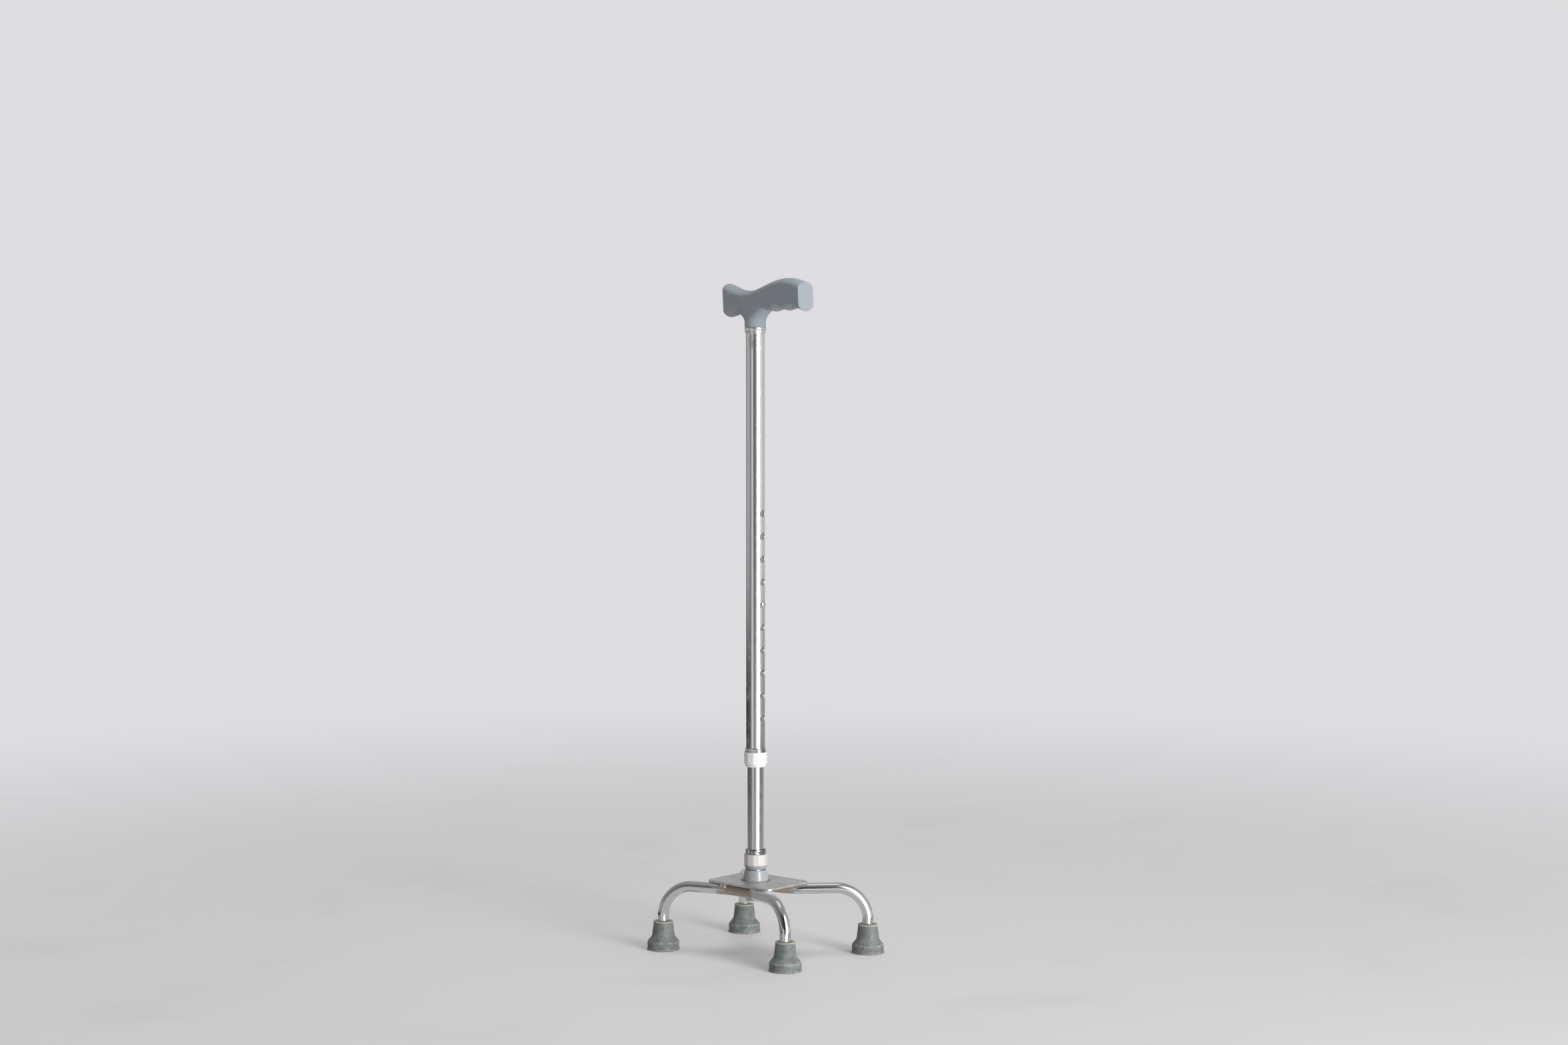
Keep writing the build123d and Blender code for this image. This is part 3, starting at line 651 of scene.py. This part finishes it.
def softened(points, steps=5):
    """Outline whose corners (a, b, radius) become arcs; a radius of 0 keeps a corner."""
    outline = []
    count = len(points)
    for i, (a, b, radius) in enumerate(points):
        corner = Vector((a, b))
        if not radius:
            outline.append(corner)
            continue
        back = (Vector(points[i - 1][:2]) - corner).normalized()
        ahead = (Vector(points[(i + 1) % count][:2]) - corner).normalized()
        half = back.angle(ahead) / 2
        start = corner + back * (radius / math.tan(half))
        middle = corner + (back + ahead).normalized() * (radius / math.sin(half))
        sweep = (start - middle).angle_signed(corner + ahead * (radius / math.tan(half)) - middle)
        for k in range(steps + 1):
            outline.append(middle + Matrix.Rotation(-sweep * k / steps, 2) @ (start - middle))
    return outline


def grid_faces(rows, columns, close_rows):
    """Quads over rows of columns vertices, each row closed on itself."""
    faces = []
    for i in range(rows if close_rows else rows - 1):
        for j in range(columns):
            k = (j + 1) % columns
            m = (i + 1) % rows
            faces.append((i * columns + j, i * columns + k, m * columns + k, m * columns + j))
    return faces


def joined(parts):
    """One (vertices, faces) pair from several."""
    vertices, faces = [], []
    for part_vertices, part_faces in parts:
        faces += [tuple(i + len(vertices) for i in face) for face in part_faces]
        vertices += part_vertices
    return vertices, faces


def turns(count):
    return [math.tau * k / count for k in range(count)]


def ring_about(middle, radius, side, other, count):
    """Circle of points round middle, in the plane of the directions side and other."""
    return [middle + radius * (side * math.cos(turn) + other * math.sin(turn)) for turn in turns(count)]


def turned_mesh(name, points, steps=128, at=AXIS, sharp_angle=30):
    """Body of revolution from (radius, z, corner radius) points of its closed section."""
    outline = softened(points)
    vertices = [(at.x + radius * math.cos(turn), at.y + radius * math.sin(turn), z)
                for radius, z in outline for turn in turns(steps)]
    return make_mesh(name, vertices, grid_faces(len(outline), steps, True), sharp_angle)


# ---- handle ------------------------------------------------------------
GRIP_HALF = 11.7
CROWN_ROUND = 7.0              # heights of the half ellipses over and under the flat flanks
FINGER_ROUND = 7.4
GRIP_LEAN = math.tan(math.radians(3.5))
GRIP_MIDDLE_Z = 33.0
GRIP_ENDS = (-44.4, 86.9)
END_ROUND = 0.9
CROWN_POWER = 1.9              # shape of the rounds: 2 is an ellipse, less is more pointed
FINGER_POWER = 1.75
CROWN_LINE = [
    (-52, 51.2), (-45.8, 49.4), (-36.2, 46.6), (-29.6, 44.4), (-22.3, 42.6), (-15, 41.7), (-6.3, 41.6),
    (1, 42.4), (8.2, 44.2), (15.4, 46.6), (24, 49.6), (32.7, 52.5), (41.2, 54.9), (49.8, 56.5),
    (57, 57.1), (64, 57.1), (71.1, 56.3), (79, 54.7), (87, 52.5), (96, 49.6),
]
FINGER_LINE = [
    (-52, 11.4), (-46, 10.5), (-41.4, 10.3), (-37, 10.9), (-31.1, 12.6), (-25.3, 14.6), (-12, 17.0),
    (0, 18.0), (12, 18.8), (20, 19.4), (28.3, 19.5), (33, 18.7), (37.7, 18.5), (43.5, 19.8),
    (50.1, 21.6), (55.5, 20.5), (60.5, 20.1), (67, 21.6), (74.6, 23.2), (81, 21.6), (87.1, 19.7), (96, 17.5),
]
NECK = [
    # height, reach to the long end, to the short end, half width, squareness
    (0.0, 11.9, 11.9, 11.9, 2.0), (0.7, 12.3, 12.3, 12.3, 2.0), (3.0, 12.3, 12.3, 12.3, 2.0),
    (6.0, 12.35, 12.4, 12.25, 2.0), (8.5, 12.8, 13.1, 12.15, 2.1), (10.4, 13.7, 14.8, 12.0, 2.3),
    (12.3, 15.2, 17.0, 11.9, 2.5), (14.2, 16.9, 19.6, 11.8, 2.8), (16.2, 18.9, 22.8, 11.75, 3.1),
    (18.9, 22.3, 27.0, 11.7, 3.4), (21.5, 25.5, 30.0, 11.6, 3.6), (25.0, 28.0, 31.0, 11.3, 3.6),
]
VOXEL = 0.40


def curve_through(points, x):
    """Height at x of a smooth curve through the points (x, z)."""
    last = len(points) - 1
    i = max(k for k in range(last) if points[k][0] <= x or k == 0)

    def slope(k):
        before, after = points[max(k - 1, 0)], points[min(k + 1, last)]
        return (after[1] - before[1]) / (after[0] - before[0])

    (x0, z0), (x1, z1) = points[i], points[i + 1]
    width = x1 - x0
    t = (x - x0) / width
    return (
        (2 * t**3 - 3 * t**2 + 1) * z0 + (t**3 - 2 * t**2 + t) * width * slope(i)
        + (3 * t**2 - 2 * t**3) * z1 + (t**3 - t**2) * width * slope(i + 1)
    )


def leaning_height(line, station, guess):
    """Height of a line of the grip where the leaning section at station meets it."""
    height = guess
    for _ in range(4):
        height = curve_through(line, station - GRIP_LEAN * (height - GRIP_MIDDLE_Z))
    return height


def bent_cosine(turn, power):
    return math.copysign(abs(math.cos(turn)) ** (2 / power), math.cos(turn))


def bent_sine(turn, power):
    return math.copysign(abs(math.sin(turn)) ** (2 / power), math.sin(turn))


def grip_ring(station, inset, count=72):
    """One leaning section of the grip: half ellipses joined by flat flanks."""
    crown = leaning_height(CROWN_LINE, station, 45.0) - inset
    under = leaning_height(FINGER_LINE, station, 18.0) + inset
    half = GRIP_HALF - inset
    top = crown - CROWN_ROUND + 0.4 * inset
    bottom = under + FINGER_ROUND - 0.4 * inset
    ring = []
    steps = count // 2
    for start, power, level, reach in ((0.0, CROWN_POWER, top, crown - top),
                                       (math.pi, FINGER_POWER, bottom, bottom - under)):
        for k in range(steps + 1):
            turn = start + math.pi * k / steps
            ring.append((half * bent_cosine(turn, power), level + reach * bent_sine(turn, power)))
    return [(station - GRIP_LEAN * (z - GRIP_MIDDLE_Z), y, z) for y, z in ring]


def neck_ring(height, long_side, short_side, half_width, squareness, count=96):
    """Section of the neck: a circle low down, squarer where it meets the flanks."""
    ring = []
    for turn in turns(count):
        reach = long_side if math.cos(turn) > 0 else short_side
        ring.append((bent_cosine(turn, squareness) * reach, bent_sine(turn, squareness) * half_width, height))
    return ring


def skin(rings):
    """Closed surface over a row of rings, capped at both ends."""
    columns = len(rings[0])
    vertices = [point for ring in rings for point in ring]
    faces = grid_faces(len(rings), columns, False)
    faces.append(tuple(range(columns)))
    faces.append(tuple((len(rings) - 1) * columns + j for j in range(columns)))
    return vertices, faces


def make_handle(material):
    low_end, high_end = GRIP_ENDS
    rounding = [math.radians(15 * k) for k in range(6)]
    rings = [grip_ring(low_end + END_ROUND * (1 - math.cos(turn)), END_ROUND * (1 - math.sin(turn)))
             for turn in rounding]
    span = high_end - low_end - 2 * END_ROUND
    body_rings = 110
    for k in range(1, body_rings):
        rings.append(grip_ring(low_end + END_ROUND + span * k / body_rings, 0.0))
    rings += [grip_ring(high_end - END_ROUND * (1 - math.cos(turn)), END_ROUND * (1 - math.sin(turn)))
              for turn in reversed(rounding)]
    vertices, faces = joined([skin(rings), skin([neck_ring(*station) for station in NECK])])
    turn = Matrix.Rotation(HANDLE_TWIST, 3, "Z")
    origin = Vector((AXIS.x, AXIS.y, NECK_Z))
    mesh = make_mesh("handle_blank", [turn @ Vector(v) + origin for v in vertices], faces)
    blank = add_object("handle_blank", mesh)
    remesh = blank.modifiers.new("union", "REMESH")
    remesh.mode = "VOXEL"
    remesh.voxel_size = VOXEL * MM
    smooth = blank.modifiers.new("soften", "SMOOTH")
    smooth.factor = 0.5
    smooth.iterations = 5
    settled = blank.evaluated_get(bpy.context.evaluated_depsgraph_get())
    finished = bpy.data.meshes.new_from_object(settled)
    bpy.data.objects.remove(blank)
    finished.shade_smooth()
    finished.name = "handle_grip_skin"
    return place_piece("handle_moulding", finished, "outer", "handle_plastic", material, "handle_grip")


# ---- base --------------------------------------------------------------
LEG_R = 6.5
LEG_SHAPES = {
    # row: knee place, knee bend, left bend, right bend
    "near": ((15.0, -45.0), 60.0, 38.0, 35.0),
    "far": ((33.0, 4.0), 40.0, 43.0, 38.0),
}
LEG_START = 8.0                # inside the rubber tips
LEG_TOP = high("leg_tube_near").z - LEG_R


def bent_path(corners, radii, degrees=2.0):
    """Points along straight runs joined by tangent arcs."""
    path = [corners[0]]
    for before, corner, after, radius in zip(corners, corners[1:], corners[2:], radii):
        back = (before - corner).normalized()
        ahead = (after - corner).normalized()
        half = back.angle(ahead) / 2
        middle = corner + (back + ahead).normalized() * (radius / math.sin(half))
        start = corner + back * (radius / math.tan(half)) - middle
        sweep = math.pi - 2 * half
        axis = back.cross(ahead).normalized()
        steps = max(int(math.degrees(sweep) / degrees), 4)
        for k in range(steps + 1):
            path.append(middle + Matrix.Rotation(-sweep * k / steps, 3, axis) @ start)
    path.append(corners[-1])
    return path


def tube_rings(path, radius, count=64):
    """Rings square to a path, carried along it without twisting."""
    rings = []
    side = None
    for i, point in enumerate(path):
        ahead = (path[min(i + 1, len(path) - 1)] - path[max(i - 1, 0)]).normalized()
        if side is None:
            side = ahead.orthogonal()
        side = (side - ahead * side.dot(ahead)).normalized()
        other = ahead.cross(side)
        rings.append(ring_about(point, radius, side, other, count))
    return rings


def make_leg(row, material):
    left, right = centre(f"tip_{row}_left"), centre(f"tip_{row}_right")
    (knee_x, knee_y), knee_bend, left_bend, right_bend = LEG_SHAPES[row]
    corners = [
        Vector((left.x, left.y, LEG_START)), Vector((left.x, left.y, LEG_TOP)),
        Vector((-knee_x, knee_y, LEG_TOP)), Vector((knee_x, knee_y, LEG_TOP)),
        Vector((right.x, right.y, LEG_TOP)), Vector((right.x, right.y, LEG_START)),
    ]
    path = bent_path(corners, [left_bend, knee_bend, knee_bend, right_bend])
    mesh = make_mesh(f"{row}_leg_tube", *skin(tube_rings(path, LEG_R)), 60)
    place_piece(f"{row}_leg", mesh, "base", "tube_chrome", material, f"leg_tube_{row}")


def make_tip(foot, material):
    """Rubber tip: flared stem, shoulder band and a lipped tread."""
    place = centre(f"tip_{foot}")
    bore, floor = LEG_R + 0.05, 5.0
    points = [
        (2.0, 0.8, 0), (5.2, 0.8, 0.2), (6.0, 0.0, 0.3), (9.0, 0.0, 0.3), (10.0, 1.2, 0.3), (12.0, 1.2, 0.3),
        (13.0, 0.0, 0.3), (19.1, 0.0, 0.45), (19.4, 1.1, 0.4), (18.9, 1.8, 0.25), (18.55, 3.0, 0.6),
        (18.75, 9.6, 0.9), (13.4, 16.2, 4.0), (11.45, 31.2, 2.0), (11.75, 32.6, 0.7), (11.4, 33.9, 0.6),
        (8.6, 34.0, 1.2), (7.2, 33.2, 0.5), (bore, 32.0, 0.4), (bore, floor, 0.3), (2.0, floor, 0),
    ]
    mesh = turned_mesh(f"tip_rubber_{foot}", points, 96, place, 50)
    place_piece(f"rubber_tip_{foot}", mesh, "base", "tip_rubber", material, f"tip_{foot}")


def lumpy_bead(start, end, radius, seed):
    """Rounded, uneven weld bead from start to end."""
    rings = []
    count, rows = 20, 26
    along = end - start
    up = Vector((0, 0, 1))
    side = along.cross(up).normalized()
    for i in range(rows + 1):
        t = i / rows
        swell = max(1 - abs(2 * t - 1) ** 5, 0.02) ** 0.5
        ripple = 1 + 0.07 * math.sin(26 * t + seed) + 0.05 * math.sin(61 * t + 2 * seed)
        middle = start + along * t + side * 0.25 * math.sin(9 * t + seed)
        size = radius * swell * ripple
        rings.append(ring_about(middle, size, side, up, count))
    return skin(rings)


def make_welds(material):
    """Beads under the plate's near edge and over the far tube, and round the socket."""
    plate_bottom = low("base_plate").z
    weld_r, weld_length, drop = 2.6, 11.0, 2.4
    places = [(-19.0, -51.7), (29.0, -51.9), (-10.0, 8.9), (10.0, 8.9)]
    beads = []
    for seed, (x, y) in enumerate(places):
        start = Vector((x - weld_length / 2, y + 0.4, plate_bottom - drop))
        end = Vector((x + weld_length / 2, y - 0.2, plate_bottom - drop))
        beads.append(lumpy_bead(start, end, weld_r, 1.7 * seed))
    mesh = make_mesh("plate_weld_beads", *joined(beads), 60)
    place_piece("weld_beads", mesh, "base", "weld_metal", material, "plate_welds")


def make_cone(material):
    bottom, top = bottom_top("base_cone")
    points = [
        (11.05, bottom, 0.1), (15.2, bottom, 0.4), (15.15, bottom + 1.0, 0.6),
        (12.55, top, 1.1), (11.05, top, 0.3),
    ]
    mesh = turned_mesh("cone_moulding", points, 160)
    piece = place_piece("cone_cover", mesh, "base", "cone_plastic", material, "base_cone")
    even_normals(piece)


def make_seat(material):
    bottom, top = bottom_top("seat_ring")
    points = [
        (10.1, bottom, 0.1), (11.3, bottom, 0.5), (12.95, top - 1.4, 1.0),
        (13.1, top, 0.35), (10.1, top, 0.1),
    ]
    mesh = turned_mesh("seat_moulding", points, 160)
    even_normals(place_piece("taper_seat", mesh, "base", "seat_plastic", material, "seat_ring"))


# ---- lock nuts and rings -----------------------------------------------
NUT_SIDES = 12
NUT_R = 13.25                  # across the flats
NUT_CORNER_R = NUT_R / math.cos(math.pi / NUT_SIDES)
NUT_BORE = 9.95


def nut_radius(turn, limit):
    """Twelve-sided outline with its corners turned down to limit."""
    side = math.tau / NUT_SIDES
    off_flat = (turn % side) - side / 2
    return min(NUT_R / math.cos(off_flat), limit)


def nut_rings(outline):
    """Rings from (z, limit) pairs, where limit is the turned surface's radius."""
    count = NUT_SIDES * 16
    return [
        [(AXIS.x + nut_radius(turn, limit) * math.cos(turn),
          AXIS.y + nut_radius(turn, limit) * math.sin(turn), z)
         for turn in turns(count)]
        for z, limit in outline
    ]


def make_nut(name, outline, body, material, node):
    """Nut from the (z, limit) outline of its outside, from its bore round to its bore."""
    rings = nut_rings(outline)
    columns = len(rings[0])
    vertices = [point for ring in rings for point in ring]
    mesh = make_mesh(name + "_metal", vertices, grid_faces(len(rings), columns, True), 24)
    piece = place_piece(name, mesh, body, "nut_aluminium", material, node)
    even_normals(piece)


def rounded_rim(z, limit, drop, cut, up, steps=6):
    """(z, limit) pairs of an edge that rounds inwards by cut over a height of drop."""
    pairs = []
    for k in range(steps + 1):
        turn = math.pi / 2 * k / steps
        pairs.append((z + up * drop * (math.sin(turn) - 1), limit - cut * (1 - math.cos(turn))))
    return pairs if up > 0 else pairs[::-1]


def make_nuts(lower_material, upper_material):
    crest = NUT_CORNER_R - 0.10
    bottom, top = bottom_top("lower_lock_nut")
    lower = (
        [(bottom, NUT_BORE), (bottom, crest - 1.35)] + rounded_rim(bottom, crest, 1.3, 0.9, -1)
        + rounded_rim(top, crest, 1.0, 0.75, 1) + [(top, crest - 1.3), (top, NUT_BORE)]
    )
    make_nut("lower_nut", lower, "lower_nut", lower_material, "lower_lock_nut")
    bottom, top = bottom_top("upper_lock_nut")
    lip_r, lip_top = 12.2, bottom + 3.9
    upper = (
        [(bottom, NUT_BORE), (bottom, lip_r - 1.7)] + rounded_rim(bottom, lip_r, 1.6, 1.5, -1)
        + [(lip_top - 0.2, lip_r), (lip_top, lip_r - 0.15)]
        + rounded_rim(lip_top, crest, 0.9, 0.7, -1) + rounded_rim(top, crest, 0.9, 0.7, 1)
        + [(top, crest - 1.2), (top, NUT_BORE)]
    )
    make_nut("upper_nut", upper, "upper_nut", upper_material, "upper_lock_nut")


def make_rings(material, collar_material):
    """Polished rings over both nuts, and the collar under the handle."""
    bottom, top = bottom_top("lower_cap_ring")
    cap = [
        (10.0, bottom, 0), (12.1, bottom, 0.3), (12.1, bottom + 0.8, 0.2), (11.85, bottom + 1.1, 0.2),
        (12.05, top - 1.0, 0.5), (12.0, top, 0.45), (11.0, top, 0.3), (10.7, top - 1.0, 0.2),
        (10.0, top - 1.4, 0),
    ]
    even_normals(place_piece("cap_ring", turned_mesh("cap_ring_metal", cap), "lower_nut",
                             "polished_aluminium", material, "lower_cap_ring"))
    bottom, top = bottom_top("upper_sleeve")
    shoulder = top - 4.7
    sleeve = [
        (9.6, bottom, 0), (11.6, bottom, 0.2), (11.6, shoulder, 0), (12.2, shoulder, 0.25),
        (12.2, shoulder + 1.3, 0.25), (11.9, shoulder + 1.7, 0.2), (12.0, top - 0.9, 0.4), (11.75, top, 0.5),
        (11.02, top, 0.1), (11.02, shoulder + 1.4, 0), (9.6, shoulder + 1.4, 0),
    ]
    even_normals(place_piece("sleeve_ring", turned_mesh("sleeve_metal", sleeve), "outer",
                             "polished_aluminium", material, "upper_sleeve"))
    bottom, top = bottom_top("ferrule")
    rim = high("ferrule").x - AXIS.x
    outline = [
        (11.02, bottom, 0.1), (rim - 0.55, bottom, 0.6), (rim - 0.4, top - 3.2, 2.0), (rim, top - 2.0, 0.8),
        (rim, top, 0.9), (11.02, top, 0),
    ]
    even_normals(place_piece("collar_ring", turned_mesh("collar_metal", outline), "outer",
                             "polished_aluminium", collar_material, "ferrule"))


# ---- shaft tubes -------------------------------------------------------
HOLES = 10
HOLE_PITCH = 26.5
HOLE_R = 4.15
BUTTON_HOLE = 5                # counted from the top
OUTER_R, OUTER_IN = 11.0, 9.8
INNER_R, INNER_IN = 9.5, 8.3
ROUND_WALL = 0.98              # faces that face the axis more squarely than this belong to a tube wall


def hole_heights():
    button_z = centre("snap_button").z
    return [button_z + (BUTTON_HOLE - index) * HOLE_PITCH for index in range(1, HOLES + 1)]


def drilled_tube(name, r_out, r_in, z0, z1, heights):
    """Tube with holes through its +X side and normals that follow its true round."""
    edge = 0.25
    section = [(r_in, z0, 0), (r_out, z0, edge), (r_out, z1, edge), (r_in, z1, 0)]
    tube = add_object("blank", turned_mesh("blank", section, 192))
    drills = [skin([
        [(x, AXIS.y + HOLE_R * math.cos(turn), z + HOLE_R * math.sin(turn)) for turn in turns(64)]
        for x in (r_in - 4, r_out + 4)
    ]) for z in heights]
    drill = add_object("drill", make_mesh("drill", *joined(drills)))
    cut = tube.modifiers.new("holes", "BOOLEAN")
    cut.operation = "DIFFERENCE"
    cut.solver = "EXACT"
    cut.object = drill
    settled = tube.evaluated_get(bpy.context.evaluated_depsgraph_get())
    mesh = bpy.data.meshes.new_from_object(settled)
    for item in (tube, drill):
        bpy.data.objects.remove(item)
    mesh.name = name
    mesh.shade_smooth()
    normals = [Vector((0, 0, 0))] * len(mesh.loops)
    for face in mesh.polygons:
        out = Vector((face.center.x - AXIS.x * MM, face.center.y - AXIS.y * MM, 0)).normalized()
        facing = face.normal.dot(out)
        for loop in face.loop_indices:
            point = mesh.vertices[mesh.loops[loop].vertex_index].co
            radial = Vector((point.x - AXIS.x * MM, point.y - AXIS.y * MM, 0)).normalized()
            if abs(facing) > ROUND_WALL:
                normals[loop] = radial * math.copysign(1, facing)
            else:
                normals[loop] = face.normal.copy()
    mesh.normals_split_custom_set(normals)
    return mesh


def make_shaft_tubes(outer_material, inner_material):
    bottom, top = bottom_top("outer_tube")
    outer = drilled_tube("outer_tube_metal", OUTER_R, OUTER_IN, bottom, top, hole_heights())
    place_piece("outer_shaft", outer, "outer", "outer_aluminium", outer_material, "outer_tube")
    bottom, top = bottom_top("inner_tube")
    inner = drilled_tube("inner_tube_metal", INNER_R, INNER_IN, bottom, top, [centre("snap_button").z])
    place_piece("inner_shaft", inner, "shaft", "tube_chrome", inner_material, "inner_tube")


def make_hole_lips(material):
    """Rounded burr round each hole, following the tube's round."""
    lip_r, stations, sides = 0.34, 48, 10
    lips = []
    for z in hole_heights():
        lip = []
        for turn in turns(stations):
            along, up = HOLE_R * math.cos(turn), HOLE_R * math.sin(turn)
            spot = Vector((math.sqrt((OUTER_R - 0.18) ** 2 - along**2), AXIS.y + along, z + up))
            out = Vector((1, 0, 0))
            wide = Vector((0, math.cos(turn), math.sin(turn)))
            lip += ring_about(spot, lip_r, out, wide, sides)
        lips.append((lip, grid_faces(stations, sides, True)))
    mesh = make_mesh("hole_lips_metal", *joined(lips), 60)
    place_piece("hole_lips", mesh, "outer", "outer_aluminium", material)


def make_button(material):
    """Domed button: a shank in the hole, a flange behind it and a round cap."""
    middle = centre("snap_button")
    back, tip = low("snap_button").x, high("snap_button").x
    shank_r, flange_r, dome_start = 4.0, 4.8, 11.5
    outline = [(back, 0.05), (back, flange_r - 0.2), (back + 0.2, flange_r), (back + 1.0, flange_r),
               (back + 1.2, shank_r)]
    steps = 20
    for k in range(steps):
        turn = math.pi / 2 * k / steps
        outline.append((dome_start + (tip - dome_start) * math.sin(turn), shank_r * math.cos(turn)))
    outline.append((tip, 0.05))
    rings = [
        [(x, middle.y + radius * math.cos(turn), middle.z + radius * math.sin(turn)) for turn in turns(64)]
        for x, radius in outline
    ]
    mesh = make_mesh("button_metal", *skin(rings), 35)
    place_piece("height_button", mesh, "button", "button_steel", material, "snap_button")


# ---- assembly ----------------------------------------------------------
WEAR_TURN = 20.0               # degrees to the camera's left
WEAR_DROP = 10.0               # millimetres under the ferrule
DULL_RISE = 36.0               # millimetres over the button, where the inner tube's polish ends


def dress(node, material):
    """Give a CAD node its finished material."""
    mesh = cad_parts[node].data
    for index in range(len(mesh.materials)):
        mesh.materials[index] = material
    if not mesh.materials:
        mesh.materials.append(material)


make_camera()
make_room()
make_lights()
make_floor()

plastic = handle_plastic()
wear_turn = math.radians(CAMERA_AZIMUTH - WEAR_TURN)
wear_place = (AXIS.x + OUTER_R * math.sin(wear_turn), AXIS.y - OUTER_R * math.cos(wear_turn),
              low("ferrule").z - WEAR_DROP)
aluminium = drawn_metal("drawn_aluminium", (0.855, 0.855, 0.875), 0.085, 0.04, 0.06, wear_place, OUTER_IN)
chrome = drawn_metal("tube_chrome_plate", (0.70, 0.70, 0.71), 0.11, 0.03, 0.06,
                     dull_from=centre("snap_button").z + DULL_RISE)
legs = leg_chrome()
plate = plate_chrome()
polished = turned_metal("polished_ring", (0.84, 0.84, 0.84), 0.10, dents=0.08)
collar = turned_metal("brushed_collar", (0.86, 0.86, 0.86), 0.20)
zinc = turned_metal("zinc_plate", (0.62, 0.62, 0.63), 0.32)
spring = drawn_metal("blue_spring_steel", (0.42, 0.42, 0.45), 0.28)
button = turned_metal("button_dome", (0.80, 0.80, 0.80), 0.10)
rubber = tip_rubber()
weld = weld_metal()
nylon = smooth_plastic("white_nylon", (0.46, 0.45, 0.43), 0.45)
seat = smooth_plastic("lavender_plastic", (0.305, 0.31, 0.36), 0.34)
cone = smooth_plastic("glossy_grey_plastic", (0.310, 0.323, 0.334), 0.26, 0.35,
                      (AXIS.x + 7.3, AXIS.y - 11.4, 95.0))
lower_nut = worn_nut("lower_nut_metal", (0.66, 0.64, 0.61), 0.30, 0.48,
                     (AXIS.x + 9.5, AXIS.y - 9, 106), (0.64, 0.55, 0.51))
upper_nut = worn_nut("upper_nut_metal", (0.88, 0.88, 0.875), 0.40, 0.30,
                     (AXIS.x + 4, AXIS.y - 12, 228), (0.80, 0.78, 0.76))

by_material = {
    aluminium: ["outer_tube"],
    chrome: ["inner_tube"],
    legs: ["leg_tube_near", "leg_tube_far"],
    plate: ["base_plate"],
    polished: ["upper_sleeve", "lower_cap_ring"],
    collar: ["ferrule"],
    zinc: ["thread_sleeve", "socket_tube", "handle_pin"] + [f"tip_washer_{foot}" for foot in FEET],
    spring: ["snap_spring"],
    button: ["snap_button"],
    rubber: [f"tip_{foot}" for foot in FEET],
    weld: ["plate_welds", "socket_weld"],
    nylon: ["glide_bush", "handle_core", "socket_plug", "lower_collet", "upper_collet"],
    seat: ["seat_ring"],
    cone: ["base_cone"],
    lower_nut: ["lower_lock_nut"],
    upper_nut: ["upper_lock_nut"],
    plastic: ["handle_grip"],
}
for material, node_names in by_material.items():
    for node_name in node_names:
        dress(node_name, material)

make_handle(plastic)
for row in LEG_SHAPES:
    make_leg(row, legs)
for foot in FEET:
    make_tip(foot, rubber)
make_welds(weld)
make_cone(cone)
make_seat(seat)
make_nuts(lower_nut, upper_nut)
make_rings(polished, collar)
make_shaft_tubes(aluminium, chrome)
make_hole_lips(aluminium)
make_button(button)
